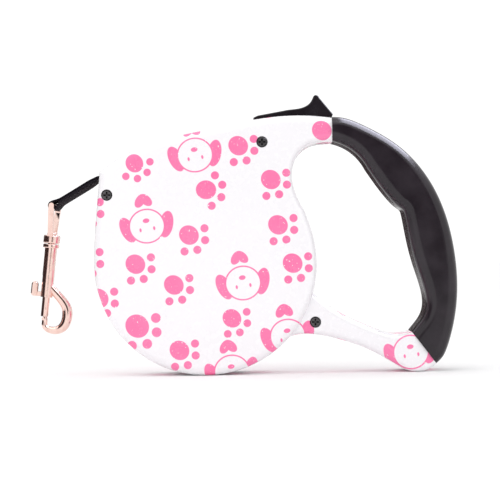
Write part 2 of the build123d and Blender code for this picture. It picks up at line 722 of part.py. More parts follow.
def make_tape_lead():
    """The tape between the winding and the mouth: a straight run, bent over the roller."""
    half = TAPE_THICK / 2
    with BuildPart() as tape_lead:
        with BuildSketch(front(-TAPE_WIDTH / 2)):
            with BuildLine():
                starts, ends = [], []
                for way in (-half, half):
                    starts.append(on_circle(DRUM, WOUND_TOP_R + way, LEAVES_REEL))
                    Line(starts[-1], on_circle(GUIDE, GUIDE_TOP_R + way, LEAVES_REEL))
                    CenterArc(GUIDE, GUIDE_TOP_R + way, LEAVES_REEL, LEAVES_GUIDE - LEAVES_REEL)
                    ends.append(past_guide(GUIDE_TOP_R + way, LEAD_OUT))
                    Line(past_guide(GUIDE_TOP_R + way, 0), ends[-1])
                Line(*starts)
                Line(*ends)
            make_face()
        extrude(amount=TAPE_WIDTH)
    save(tape_lead.part, "tape_lead")


def make_tape_end():
    """The sewn, doubled end of the tape, folded round the eye's bar."""
    long = sqrt(TO_EYE ** 2 - GUIDE_TOP_R ** 2) - LEAD_OUT
    fold_r = EYE_BAR_R + 0.2
    with BuildPart() as tape_end:
        with BuildSketch(Plane(origin=EYE, x_dir=-TAPE_ALONG, z_dir=TAPE_ACROSS)):
            with Locations((fold_r, 0)):
                Rectangle(long - fold_r, SEWN_THICK, align=(Align.MIN, Align.CENTER))
        extrude(amount=TAPE_WIDTH / 2, both=True)
        with BuildSketch(Plane(origin=EYE, x_dir=HOOK_UP, z_dir=EYE_BAR)):
            Circle(fold_r + TAPE_THICK)
        extrude(amount=TAPE_WIDTH / 2, both=True)
        with BuildSketch(Plane(origin=EYE, x_dir=HOOK_UP, z_dir=EYE_BAR)):
            Circle(fold_r)
        extrude(amount=TAPE_WIDTH, both=True, mode=Mode.SUBTRACT)
    save(tape_end.part, "tape_end")


# ---------------------------------------------------------------- snap hook
HOOK_SIDE = Plane(origin=EYE, x_dir=HOOK_ACROSS, z_dir=(0, -1, 0))
EYE_HALF = 7.2                          # half width of the eye, along its bar
EYE_FLOOR, EYE_BASE = -14.4, -18.4      # heights along the hook, from the eye's bar
BARREL_TOP, BARREL_END = -18.7, -44.6
FLANGE_THICK = 1.9
BORE_TOP = -22.3
PLUNGER_TOP, PLUNGER_TIP = -33.5, -54.0
# the middle of the hook's bend, across and along the hook from the eye's bar
ARM_BEND = (
    (1.6, -39.2), (7.7, -45.4), (11.0, -51.7), (10.2, -57.2), (5.6, -60.4), (0.5, -58.2), (-0.6, -54.3),
)
# where along the bend its thickness is set, and the radius there
ARM_SECTIONS = ((0.0, 2.0), (0.25, 2.2), (0.55, 2.4), (0.8, 1.65), (1.0, 1.5))
COLLAR_R = 4.0                          # the eye's ring, and the barrel's flange under it
LUG = (3.2, 7.0, 3.0)                   # width, height and thickness of the plunger's thumb lug
LUG_OUT = -6.0                          # how far out the lug's middle is, across the hook
SPOKE_HALF = 1.1                        # half thickness of the web that carries the lug


def hook_level(height):
    """A plane square to the hook's long axis, this far above the eye's bar."""
    return Plane(origin=EYE + HOOK_UP * height, x_dir=HOOK_ACROSS, z_dir=HOOK_UP)


def collar_blank():
    """The eye's turning ring, with rounded edges, before its bore."""
    with BuildPart() as collar:
        with BuildSketch(hook_level(EYE_BASE)):
            Circle(COLLAR_R)
        extrude(amount=EYE_FLOOR - EYE_BASE)
        fillet(collar.edges(), 0.7)
    return collar.part


def make_swivel_eye():
    """The cast eye: a bar for the tape, two arms that close in, and a ring that turns on the rivet."""
    with BuildPart() as swivel_eye:
        with BuildSketch(Plane(origin=EYE, x_dir=EYE_BAR, z_dir=EYE_BAR.cross(HOOK_UP))):
            Polygon(
                (-EYE_HALF, 0), (EYE_HALF, 0), (EYE_HALF, -3.0), (4.0, EYE_FLOOR - 0.6),
                (-4.0, EYE_FLOOR - 0.6), (-EYE_HALF, -3.0),
                align=None,
            )
            Polygon(
                (-5.4, 2), (5.4, 2), (5.4, -3.2), (3.0, EYE_FLOOR), (-3.0, EYE_FLOOR), (-5.4, -3.2),
                align=None, mode=Mode.SUBTRACT,
            )
        extrude(amount=EYE_BAR_R, both=True)
        with BuildSketch(Plane(origin=EYE, x_dir=HOOK_UP, z_dir=EYE_BAR)):
            Circle(EYE_BAR_R)
        extrude(amount=EYE_HALF, both=True)
        add(collar_blank())
        with BuildSketch(hook_level(EYE_BASE)):
            Circle(RIVET_R + RUNNING)
        extrude(amount=EYE_FLOOR - EYE_BASE, mode=Mode.SUBTRACT)
    save(swivel_eye.part, "swivel_eye")


def make_swivel_rivet():
    with BuildPart() as swivel_rivet:
        with BuildSketch(hook_level(BARREL_TOP)):
            Circle(RIVET_R)
        extrude(amount=EYE_FLOOR + 0.1 - BARREL_TOP)
        with BuildSketch(hook_level(EYE_FLOOR + 0.1)):
            Circle(2.5)
        extrude(amount=1.3)
        fillet(swivel_rivet.faces().sort_by(Axis.Z)[-1].edges(), 0.6)
    save(swivel_rivet.part, "swivel_rivet")


def make_hook_body():
    """The barrel with its flange and the curved hook, whose tip meets the plunger."""
    with BuildPart() as arm:
        with BuildLine(HOOK_SIDE) as bend:
            Spline(*ARM_BEND, tangents=[(0.7, -0.7), (-0.05, 1)])
        for at, radius in ARM_SECTIONS:
            with BuildSketch(Plane(origin=bend.line @ at, z_dir=bend.line % at)):
                Circle(radius)
        sweep(path=bend.line, multisection=True)
    with BuildPart() as hook_body:
        with BuildSketch(hook_level(BARREL_END)):
            Circle(BARREL_R)
        extrude(amount=BARREL_TOP - BARREL_END)
        with BuildSketch(hook_level(BARREL_TOP - FLANGE_THICK)):
            Circle(COLLAR_R - 0.1)
        extrude(amount=FLANGE_THICK)
        fillet(hook_body.edges().filter_by(is_flange_rim), 0.5)
        add(arm.part)
        # the plunger's bore, and its seat in the hook's tip
        with BuildSketch(hook_level(PLUNGER_TIP - 0.1)):
            Circle(PLUNGER_R + RUNNING)
        extrude(amount=BORE_TOP - PLUNGER_TIP + 0.1, mode=Mode.SUBTRACT)
        with BuildSketch(HOOK_SIDE):
            with Locations((LUG_OUT, BARREL_END - 1)):
                Rectangle(-LUG_OUT, GATE_TRAVEL + 3.6, align=(Align.MIN, Align.MIN))
        extrude(amount=SPOKE_HALF + 0.2, both=True, mode=Mode.SUBTRACT)
    save(hook_body.part, "hook_body")


def is_flange_rim(edge):
    """True for the two outer edges of the barrel's flange."""
    return edge.geom_type == GeomType.CIRCLE and edge.radius > BARREL_R + 0.5


def lug_blank():
    """The plunger's thumb lug, rounded all over."""
    width, height, thick = LUG
    with BuildPart() as lug:
        with BuildSketch(HOOK_SIDE):
            with Locations((LUG_OUT, BARREL_END + 3.6)):
                RectangleRounded(width, height, 1.5)
        extrude(amount=thick / 2, both=True)
        fillet(lug.faces().filter_by(Axis.Y).edges(), 0.7)
    return lug.part


def make_gate_plunger():
    """The spring bolt that closes the hook, with its thumb lug standing out through the slot."""
    with BuildPart() as gate_plunger:
        with BuildSketch(hook_level(PLUNGER_TIP)):
            Circle(PLUNGER_R)
        extrude(amount=PLUNGER_TOP - PLUNGER_TIP)
        with BuildSketch(HOOK_SIDE):
            with Locations((LUG_OUT, BARREL_END + 0.2)):
                Rectangle(5.5, 2.2, align=(Align.MIN, Align.MIN))
        extrude(amount=SPOKE_HALF, both=True)
        add(lug_blank())
    save(gate_plunger.part, "gate_plunger")


def make_gate_spring():
    length = BORE_TOP - PLUNGER_TOP - 0.1
    save(coil(hook_level(PLUNGER_TOP + 0.2), 1.35, 0.3, length - 0.3, 8), "gate_spring")


# ---------------------------------------------------------------- write every piece
half_case = case_blank()
make_front_shell(half_case)
make_rear_shell(half_case)
make_case_screws()
make_grips()
make_guide()
make_centre_shaft()
make_thrust_washers()
make_reel()
make_reel_flange()
make_spring_cover()
make_tape_winding()
make_power_spring()
make_brake_lever()
make_brake_button()
make_lever_pin()
make_brake_spring()
make_tape_lead()
make_tape_end()
make_swivel_eye()
make_swivel_rivet()
make_hook_body()
make_gate_plunger()
make_gate_spring()
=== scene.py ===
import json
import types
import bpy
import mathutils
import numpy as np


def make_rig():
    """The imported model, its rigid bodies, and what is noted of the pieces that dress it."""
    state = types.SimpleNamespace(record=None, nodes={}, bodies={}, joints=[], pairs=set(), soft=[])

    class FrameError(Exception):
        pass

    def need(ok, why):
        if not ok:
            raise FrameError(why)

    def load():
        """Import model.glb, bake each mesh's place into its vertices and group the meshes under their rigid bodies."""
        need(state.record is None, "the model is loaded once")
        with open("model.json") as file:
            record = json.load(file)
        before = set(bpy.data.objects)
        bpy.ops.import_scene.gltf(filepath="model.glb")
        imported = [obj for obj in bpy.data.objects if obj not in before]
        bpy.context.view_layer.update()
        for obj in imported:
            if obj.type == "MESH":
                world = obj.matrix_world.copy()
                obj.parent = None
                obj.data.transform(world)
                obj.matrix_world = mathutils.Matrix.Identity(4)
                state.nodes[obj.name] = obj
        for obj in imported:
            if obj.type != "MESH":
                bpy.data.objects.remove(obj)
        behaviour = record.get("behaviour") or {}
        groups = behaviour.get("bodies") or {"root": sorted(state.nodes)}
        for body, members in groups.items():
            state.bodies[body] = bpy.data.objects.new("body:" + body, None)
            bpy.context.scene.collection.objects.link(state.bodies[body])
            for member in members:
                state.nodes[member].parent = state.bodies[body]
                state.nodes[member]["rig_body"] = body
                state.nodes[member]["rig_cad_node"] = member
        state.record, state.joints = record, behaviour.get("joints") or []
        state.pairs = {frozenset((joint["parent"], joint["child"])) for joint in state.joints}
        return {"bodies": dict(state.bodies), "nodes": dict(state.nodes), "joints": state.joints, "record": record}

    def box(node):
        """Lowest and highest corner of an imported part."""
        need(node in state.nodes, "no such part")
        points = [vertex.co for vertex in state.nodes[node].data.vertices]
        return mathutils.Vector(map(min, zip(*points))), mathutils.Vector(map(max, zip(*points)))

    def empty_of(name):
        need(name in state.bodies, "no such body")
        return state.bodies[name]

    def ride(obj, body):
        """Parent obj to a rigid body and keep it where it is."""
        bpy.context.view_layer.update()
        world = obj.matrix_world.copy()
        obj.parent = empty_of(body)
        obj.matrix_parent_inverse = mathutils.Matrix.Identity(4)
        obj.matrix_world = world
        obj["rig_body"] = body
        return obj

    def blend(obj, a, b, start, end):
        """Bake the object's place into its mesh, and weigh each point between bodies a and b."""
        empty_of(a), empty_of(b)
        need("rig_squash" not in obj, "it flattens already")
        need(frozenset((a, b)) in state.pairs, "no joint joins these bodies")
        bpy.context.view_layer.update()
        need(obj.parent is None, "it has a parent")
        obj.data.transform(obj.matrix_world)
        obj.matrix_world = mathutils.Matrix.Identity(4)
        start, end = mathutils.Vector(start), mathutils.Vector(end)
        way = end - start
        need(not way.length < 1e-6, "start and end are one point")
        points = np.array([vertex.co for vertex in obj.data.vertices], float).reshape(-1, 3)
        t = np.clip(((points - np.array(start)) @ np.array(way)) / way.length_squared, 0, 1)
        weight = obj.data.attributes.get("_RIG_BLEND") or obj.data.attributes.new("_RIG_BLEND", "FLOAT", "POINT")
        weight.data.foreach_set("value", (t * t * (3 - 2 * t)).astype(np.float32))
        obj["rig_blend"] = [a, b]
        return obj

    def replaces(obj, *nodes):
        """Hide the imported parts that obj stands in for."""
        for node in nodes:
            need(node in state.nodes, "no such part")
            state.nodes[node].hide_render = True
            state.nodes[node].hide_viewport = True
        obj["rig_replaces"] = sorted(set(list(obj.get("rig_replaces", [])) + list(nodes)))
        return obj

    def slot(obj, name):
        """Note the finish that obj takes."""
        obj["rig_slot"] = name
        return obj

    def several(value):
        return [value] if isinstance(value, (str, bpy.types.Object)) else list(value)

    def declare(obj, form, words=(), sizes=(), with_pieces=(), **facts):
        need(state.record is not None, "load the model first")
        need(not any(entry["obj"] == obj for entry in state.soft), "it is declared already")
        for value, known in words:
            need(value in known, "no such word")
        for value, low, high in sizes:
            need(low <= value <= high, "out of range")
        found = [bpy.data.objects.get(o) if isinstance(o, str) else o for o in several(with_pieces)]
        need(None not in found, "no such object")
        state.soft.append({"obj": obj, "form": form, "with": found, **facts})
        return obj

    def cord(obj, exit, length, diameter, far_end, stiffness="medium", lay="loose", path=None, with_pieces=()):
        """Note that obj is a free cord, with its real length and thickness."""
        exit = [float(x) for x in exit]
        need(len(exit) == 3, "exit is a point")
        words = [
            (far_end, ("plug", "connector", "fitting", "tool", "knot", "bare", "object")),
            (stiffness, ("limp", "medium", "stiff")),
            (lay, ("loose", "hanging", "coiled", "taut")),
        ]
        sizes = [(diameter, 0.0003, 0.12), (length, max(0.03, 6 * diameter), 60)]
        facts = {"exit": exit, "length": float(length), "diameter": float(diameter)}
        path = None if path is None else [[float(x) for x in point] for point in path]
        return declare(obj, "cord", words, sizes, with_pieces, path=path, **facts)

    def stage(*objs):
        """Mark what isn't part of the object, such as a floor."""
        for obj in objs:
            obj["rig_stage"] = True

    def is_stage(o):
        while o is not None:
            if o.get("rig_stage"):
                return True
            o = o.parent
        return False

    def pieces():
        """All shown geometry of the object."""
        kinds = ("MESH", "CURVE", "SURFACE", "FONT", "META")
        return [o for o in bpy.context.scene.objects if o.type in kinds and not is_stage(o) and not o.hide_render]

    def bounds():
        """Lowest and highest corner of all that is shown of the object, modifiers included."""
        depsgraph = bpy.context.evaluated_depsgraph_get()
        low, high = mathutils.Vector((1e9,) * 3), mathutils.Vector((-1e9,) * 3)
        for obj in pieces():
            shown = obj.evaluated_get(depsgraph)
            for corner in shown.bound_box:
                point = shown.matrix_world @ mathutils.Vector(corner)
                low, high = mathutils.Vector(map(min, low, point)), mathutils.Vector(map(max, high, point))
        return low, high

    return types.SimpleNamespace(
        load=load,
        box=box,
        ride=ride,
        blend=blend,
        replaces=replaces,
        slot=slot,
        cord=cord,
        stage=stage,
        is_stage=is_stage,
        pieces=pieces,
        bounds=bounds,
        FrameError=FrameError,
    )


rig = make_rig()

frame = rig.load()

import json
from math import cos, pi, radians, sin

import bmesh
import bpy
from mathutils import Vector

# A retractable pet leash in a soft white studio. Metres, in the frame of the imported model:
# +Z up, +X from the drum towards the grip, the front half of the case on the -Y side.

CAD_BOX = [list(corner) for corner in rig.bounds()]
MM = 0.001
JOINTS = {joint["name"]: joint for joint in frame["record"]["behaviour"]["joints"]}


def millimetres(*numbers):
    return Vector(numbers) * MM


def smooth(share):
    """0 to 1 with level ends."""
    share = min(max(share, 0), 1)
    return share * share * (3 - 2 * share)


# ---------------------------------------------------------------- camera
CAMERA_PLACE = (-0.01235, -0.800, 0.0598)
CAMERA_ROLL = radians(0.92)
LENS = 118.2


def make_camera():
    data = bpy.data.cameras.new("camera")
    data.lens = LENS
    camera = bpy.data.objects.new("camera", data)
    camera.location = CAMERA_PLACE
    camera.rotation_euler = (radians(90), CAMERA_ROLL, 0)
    bpy.context.collection.objects.link(camera)
    bpy.context.scene.camera = camera


make_camera()


# ---------------------------------------------------------------- node trees
class Graph:
    """A node tree built like a formula: a call adds one node and gives its output."""

    def __init__(self, tree):
        self.tree = tree

    def node(self, kind, **settings):
        made = self.tree.nodes.new(kind)
        for name, value in settings.items():
            setattr(made, name, value)
        return made

    def feed(self, socket, value):
        if isinstance(value, bpy.types.NodeSocket):
            self.tree.links.new(value, socket)
        else:
            socket.default_value = value

    def maths(self, operation, *values, clamp=False):
        made = self.node("ShaderNodeMath", operation=operation, use_clamp=clamp)
        for socket, value in zip(made.inputs, values):
            self.feed(socket, value)
        return made.outputs[0]

    def vector(self, operation, *values):
        made = self.node("ShaderNodeVectorMath", operation=operation)
        for socket, value in zip(made.inputs, values):
            self.feed(socket, value)
        gives_number = operation in ("DISTANCE", "LENGTH", "DOT_PRODUCT")
        return made.outputs["Value" if gives_number else "Vector"]

    def least(self, values):
        """The least of the values, taken one by one as they are made."""
        found = None
        for value in values:
            found = value if found is None else self.maths("MINIMUM", found, value)
        return found

    def placed(self, point, place, turn=0.0, size=(1, 1)):
        """The point as a shape sees it that lies at place, turned and sized."""
        made = self.node("ShaderNodeMapping", vector_type="TEXTURE")
        self.feed(made.inputs["Vector"], point)
        made.inputs["Location"].default_value = (place[0], place[1], 0)
        made.inputs["Rotation"].default_value = (0, 0, turn)
        made.inputs["Scale"].default_value = (size[0], size[1], 1)
        return made.outputs["Vector"]

    def ellipse(self, point, place, radii, turn=0.0):
        """Distance outside an ellipse, below zero inside it."""
        reach = self.vector("LENGTH", self.placed(point, place, turn, radii))
        return self.maths("MULTIPLY", self.maths("SUBTRACT", reach, 1.0), min(radii))

    def ramp(self, value, low, high, start=0.0, end=1.0):
        """start below low, end above high, and smooth between."""
        made = self.node("ShaderNodeMapRange", interpolation_type="SMOOTHSTEP")
        for socket, number in zip(made.inputs, (value, low, high, start, end)):
            self.feed(socket, number)
        return made.outputs["Result"]

    def noise(self, point, scale, detail=3.0, rough=0.5):
        made = self.node("ShaderNodeTexNoise")
        self.feed(made.inputs["Vector"], point)
        made.inputs["Scale"].default_value = scale
        made.inputs["Detail"].default_value = detail
        made.inputs["Roughness"].default_value = rough
        return made.outputs["Fac"]

    def mix(self, share, first, second):
        made = self.node("ShaderNodeMix", data_type="RGBA")
        self.feed(made.inputs["Factor"], share)
        self.feed(made.inputs[6], first)
        self.feed(made.inputs[7], second)
        return made.outputs[2]

    def bump(self, height, strength, depth_mm):
        made = self.node("ShaderNodeBump")
        made.inputs["Strength"].default_value = strength
        made.inputs["Distance"].default_value = depth_mm * MM
        self.feed(made.inputs["Height"], height)
        return made.outputs["Normal"]


def new_material(name):
    """A material, its graph, its shader's sockets and the place on the piece in millimetres."""
    material = bpy.data.materials.new(name)
    material.use_nodes = True
    graph = Graph(material.node_tree)
    shader = material.node_tree.nodes["Principled BSDF"]
    place = graph.node("ShaderNodeTexCoord").outputs["Object"]
    return material, graph, shader.inputs, graph.vector("MULTIPLY", place, (1000, 1000, 1000))


# ---------------------------------------------------------------- printed case
PRINT_PINK = (0.96, 0.18, 0.40, 1)
PRINT_PALE = (0.94, 0.20, 0.42, 1)
CASE_WHITE = (0.90, 0.885, 0.91, 1)
CASE_SHADE = (0.90, 0.88, 0.91, 1)
GROOVE_SHADE = (0.40, 0.37, 0.40, 1)
PAD_RADII = (4.87, 4.49)
TOE_R, TOE_OUT = 1.95, 8.1
TOE_TURNS = (-65.2, -20.6, 22.4, 63.5)
EDGE_BLUR = 0.12                        # softness of the print's edges
DRUM_R = 53.4
WALL_TILES = 10                         # repeats of the wall's print round the drum
PAW_TURN = -40.7
# each paw's place in x and z, its turn and its size
PAWS = (
    (-66.9, 102.1, -58.9, 0.92), (-17.2, 109.7, PAW_TURN, 1), (-32.9, 88.9, -6.2, 1),
    (-1.9, 93.3, PAW_TURN, 1), (-41.4, 67.4, PAW_TURN, 1), (1.2, 71.6, PAW_TURN, 1),
    (-67.2, 53.9, PAW_TURN, 1), (-49.0, 43.7, PAW_TURN, 1), (7.9, 53.2, PAW_TURN, 1),
    (-21.5, 27.3, PAW_TURN, 0.95), (-66.8, 24.3, PAW_TURN, 1.2), (-46.8, 12.4, PAW_TURN, 1),
    (-85.0, 37.8, PAW_TURN, 1), (-91.7, 56.8, PAW_TURN, 1), (-91.2, 80.7, PAW_TURN, 1),
    (23.0, 116.6, PAW_TURN, 1),
)
PUPS = ((-61.4, 72.0), (-37.9, 105.6), (-15.9, 44.1), (5.1, 18.4), (-21.9, 1.7), (64.1, 9.6))
PUP_TURN = radians(188)
PUP_HEAD, PUP_LINE = (8.4, 8.0), 0.35   # radii of the face and half width of its outline
PUP_NOSE, PUP_NOSE_RADII = (0, -2.6), (1.6, 1.1)
# place, radii and turn of the right one of each pair
PUP_EAR = ((9.3, 0.5), (3.3, 6.4), 18)
PUP_EYE = ((3.3, 1.5), (0.55, 0.95), 0)
PUP_HEART = ((1.35, -12.4), (2.2, 3.6), -40)
WALL_PAWS = ((-8.0, -4.0, 20), (9.0, 5.0, -50))  # place round and across the wall, and turn
RIM_WIDE = 8                            # the drum's print ends this far outside its rim
FACE_TILT = 0.35                        # surfaces that look this much along Y carry the face print
GROOVE_HALF = (0.10, 0.22)              # the groove between the halves fades out between these


def paw_shape(graph, point):
    """A pad with four toes."""
    yield graph.ellipse(point, (0, 0), PAD_RADII)
    for turn in TOE_TURNS:
        centre = (TOE_OUT * cos(radians(turn)), TOE_OUT * sin(radians(turn)), 0)
        yield graph.maths("SUBTRACT", graph.vector("DISTANCE", point, centre), TOE_R)


def paired(graph, point, side, lobe):
    """One ellipse of a pair, on the left (-1) or the right (1)."""
    (x, y), radii, turn = lobe
    return graph.ellipse(point, (side * x, y), radii, radians(turn * side))


def pup_shape(graph, point):
    """A plain dog's face in outline with dropped ears, over a small heart."""
    head = graph.ellipse(point, (0, 0), PUP_HEAD)
    outside_head = graph.maths("MULTIPLY", head, -1.0)
    yield graph.maths("SUBTRACT", graph.maths("ABSOLUTE", head), PUP_LINE)
    yield graph.ellipse(point, PUP_NOSE, PUP_NOSE_RADII)
    for side in (-1, 1):
        yield graph.maths("MAXIMUM", paired(graph, point, side, PUP_EAR), outside_head)
        yield paired(graph, point, side, PUP_EYE)
        yield paired(graph, point, side, PUP_HEART)


def seen_by_nearest(graph, point, places):
    """The point as the nearest of the placed motifs sees it."""
    seen = reach = None
    for place, turn, size in places:
        local = graph.placed(point, place, turn, (size, size))
        away = graph.vector("LENGTH", local)
        if seen is None:
            seen, reach = local, away
            continue
        nearer = graph.node("ShaderNodeMix", data_type="VECTOR")
        graph.feed(nearer.inputs["Factor"], graph.maths("LESS_THAN", away, reach))
        graph.feed(nearer.inputs[4], seen)
        graph.feed(nearer.inputs[5], local)
        seen, reach = nearer.outputs[1], graph.maths("MINIMUM", away, reach)
    return seen


def face_print(graph, point):
    """The motifs spread over the two sides of the case."""
    paws = [((x, z), radians(turn), size) for x, z, turn, size in PAWS]
    pups = [(place, PUP_TURN, 1) for place in PUPS]
    yield graph.least(paw_shape(graph, seen_by_nearest(graph, point, paws)))
    yield graph.least(pup_shape(graph, seen_by_nearest(graph, point, pups)))


def flat_point(graph, across, up):
    made = graph.node("ShaderNodeCombineXYZ")
    graph.feed(made.inputs["X"], across)
    graph.feed(made.inputs["Y"], up)
    return made.outputs[0]


def wall_print(graph, x, y, z):
    """Paws that run round the case's edge: unrolled on the drum, straight along the neck and leg."""
    drum = Vector(JOINTS["reel_spin"]["pos_m"]) / MM
    along = graph.maths("SUBTRACT", x, drum.x)
    up = graph.maths("SUBTRACT", z, drum.z)
    away = graph.maths("SQRT", graph.maths("ADD", graph.maths("MULTIPLY", along, along),
                                           graph.maths("MULTIPLY", up, up)))
    unrolled = graph.maths("MULTIPLY", graph.maths("ARCTAN2", up, along), DRUM_R)
    on_arms = graph.maths("GREATER_THAN", away, DRUM_R + RIM_WIDE)
    run = graph.node("ShaderNodeMix", data_type="FLOAT")
    graph.feed(run.inputs["Factor"], on_arms)
    graph.feed(run.inputs[2], unrolled)
    graph.feed(run.inputs[3], along)
    tile = 2 * pi * DRUM_R / WALL_TILES
    flat = flat_point(graph, graph.maths("WRAP", run.outputs[0], tile / 2, -tile / 2), y)
    paws = [((u, v), radians(turn), 1) for u, v, turn in WALL_PAWS]
    return graph.least(paw_shape(graph, seen_by_nearest(graph, flat, paws)))


def printed_plastic():
    """White gloss plastic with a pink film print, and a fine groove where the halves meet."""
    material, graph, shader, point = new_material("printed_plastic")
    split = graph.node("ShaderNodeSeparateXYZ")
    graph.feed(split.inputs[0], point)
    x, y, z = split.outputs
    facing = graph.node("ShaderNodeSeparateXYZ")
    graph.feed(facing.inputs[0], graph.node("ShaderNodeTexCoord").outputs["Normal"])
    on_face = graph.maths("GREATER_THAN", graph.maths("ABSOLUTE", facing.outputs["Y"]), FACE_TILT)
    distance = graph.node("ShaderNodeMix", data_type="FLOAT")
    graph.feed(distance.inputs["Factor"], on_face)
    graph.feed(distance.inputs[2], wall_print(graph, x, y, z))
    graph.feed(distance.inputs[3], graph.least(face_print(graph, flat_point(graph, x, z))))
    inked = graph.ramp(distance.outputs[0], -EDGE_BLUR, EDGE_BLUR, 1, 0)
    pinholes = graph.ramp(graph.noise(point, 1.1, 1, 0.4), 0.72, 0.76, 1, 0)
    inked = graph.maths("MULTIPLY", inked, pinholes)
    ink = graph.mix(graph.ramp(graph.noise(point, 0.05, 2), 0.4, 0.6), PRINT_PINK, PRINT_PALE)
    white = graph.mix(graph.ramp(graph.noise(point, 0.03, 3), 0.35, 0.7), CASE_WHITE, CASE_SHADE)
    colour = graph.mix(inked, white, ink)
    groove = graph.ramp(graph.maths("ABSOLUTE", y), *GROOVE_HALF)
    graph.feed(shader["Base Color"], graph.mix(groove, GROOVE_SHADE, colour))
    graph.feed(shader["Roughness"], graph.ramp(graph.noise(point, 0.4, 4), 0.3, 0.7, 0.20, 0.30))
    relief = graph.maths("ADD", graph.maths("MULTIPLY", graph.noise(point, 1.6, 2), 0.05), groove)
    graph.feed(shader["Normal"], graph.bump(relief, 0.5, 0.12))
    shader["Coat Weight"].default_value = 0.25
    shader["Coat Roughness"].default_value = 0.08
    return material


# ---------------------------------------------------------------- other materials
SEAM_HALF = (0.10, 0.25)                # a parting line fades out between these


def moulded_plastic(name, dark, light, rough, grain_mm, specular=0.5, seam=False):
    """Moulded plastic with a fine grain, slightly uneven gloss and, if asked, a parting line darkened with painted
    shade.
    """
    material, graph, shader, point = new_material(name)
    patches = graph.noise(point, 0.08, 4)
    colour = graph.mix(graph.ramp(patches, 0.3, 0.7), dark, light)
    grain = graph.noise(point, 1 / grain_mm, 3, 0.6)
    relief = graph.maths("MULTIPLY", grain, 0.25)
    if seam:
        split = graph.node("ShaderNodeSeparateXYZ")
        graph.feed(split.inputs[0], point)
        groove = graph.ramp(graph.maths("ABSOLUTE", split.outputs["Y"]), *SEAM_HALF)
        relief = graph.maths("ADD", relief, groove)
        # painted shade: the groove of the parting line is darkened to black
        colour = graph.mix(groove, (0, 0, 0, 1), colour)
    graph.feed(shader["Base Color"], colour)
    scuffs = graph.maths("ADD", graph.maths("MULTIPLY", patches, 0.6),
                         graph.maths("MULTIPLY", grain, 0.4))
    graph.feed(shader["Roughness"], graph.ramp(scuffs, 0.3, 0.7, rough - 0.05, rough + 0.07))
    graph.feed(shader["Normal"], graph.bump(relief, 0.35, 0.08))
    shader["Specular IOR Level"].default_value = specular
    return material


def metal(name, colour, worn, rough, brush=(1, 1, 1), brushed=0.15):
    """Metal with fine scratches along brush, which holds how fast they change along each axis."""
    material, graph, shader, point = new_material(name)
    scratches = graph.noise(graph.vector("MULTIPLY", point, brush), 2.0, 5, 0.65)
    tarnish = graph.noise(point, 0.35, 4)
    graph.feed(shader["Base Color"], graph.mix(graph.ramp(tarnish, 0.4, 0.75), colour, worn))
    graph.feed(shader["Roughness"], graph.ramp(tarnish, 0.3, 0.75, rough, rough + 0.12))
    graph.feed(shader["Normal"], graph.bump(scratches, brushed, 0.03))
    shader["Metallic"].default_value = 1
    return material


def black_oxide():
    """Blackened screws, worn grey on the heads, with painted shade darkening the cross slots."""
    material, graph, shader, point = new_material("black_oxide")
    # painted shade: ambient occlusion darkens the cross slots and the corners round the heads
    open_air = graph.node("ShaderNodeAmbientOcclusion", samples=8)
    open_air.inputs["Distance"].default_value = 0.8 * MM
    # the share of grey: low in the painted shade of the slots, and varied at random as wear
    wear_and_painted_shade = graph.ramp(open_air.outputs["AO"], 0.55, 0.95)
    wear_and_painted_shade = graph.maths("MULTIPLY", wear_and_painted_shade, graph.ramp(graph.noise(point, 0.9, 4), 0.3, 0.6, 0.7, 1))
    graph.feed(shader["Base Color"], graph.mix(wear_and_painted_shade, (0.01, 0.01, 0.01, 1), (0.13, 0.125, 0.13, 1)))
    graph.feed(shader["Roughness"], graph.ramp(wear_and_painted_shade, 0, 1, 0.6, 0.32))
    shader["Metallic"].default_value = 0.9
    return material


def woven_tape():
    """A dense black weave of threads crossing on the slant along the tape, with some lint."""
    material, graph, shader, point = new_material("woven_tape")
    along = graph.vector("DOT_PRODUCT", point, JOINTS["tape_payout"]["axis"])
    split = graph.node("ShaderNodeSeparateXYZ")
    graph.feed(split.inputs[0], point)
    across = split.outputs["Y"]

    def threads(value, pitch):
        return graph.maths("SINE", graph.maths("MULTIPLY", value, 2 * pi / pitch))

    rising = threads(graph.maths("ADD", along, across), 1.1)
    falling = threads(graph.maths("SUBTRACT", along, across), 1.1)
    weave = graph.maths("MULTIPLY", rising, falling)
    weave = graph.maths("ADD", graph.maths("MULTIPLY", weave, 0.5), 0.5)
    fuzz = graph.noise(point, 3.0, 4, 0.7)
    colour = graph.mix(weave, (0.004, 0.003, 0.005, 1), (0.016, 0.012, 0.018, 1))
    lint = graph.ramp(fuzz, 0.55, 0.75)
    graph.feed(shader["Base Color"], graph.mix(lint, colour, (0.024, 0.019, 0.026, 1)))
    relief = graph.maths("ADD", weave, graph.maths("MULTIPLY", fuzz, 0.4))
    graph.feed(shader["Normal"], graph.bump(relief, 0.7, 0.12))
    shader["Roughness"].default_value = 0.8
    shader["Specular IOR Level"].default_value = 0.1
    shader["Sheen Weight"].default_value = 0.02
    shader["Sheen Roughness"].default_value = 0.5
    return material


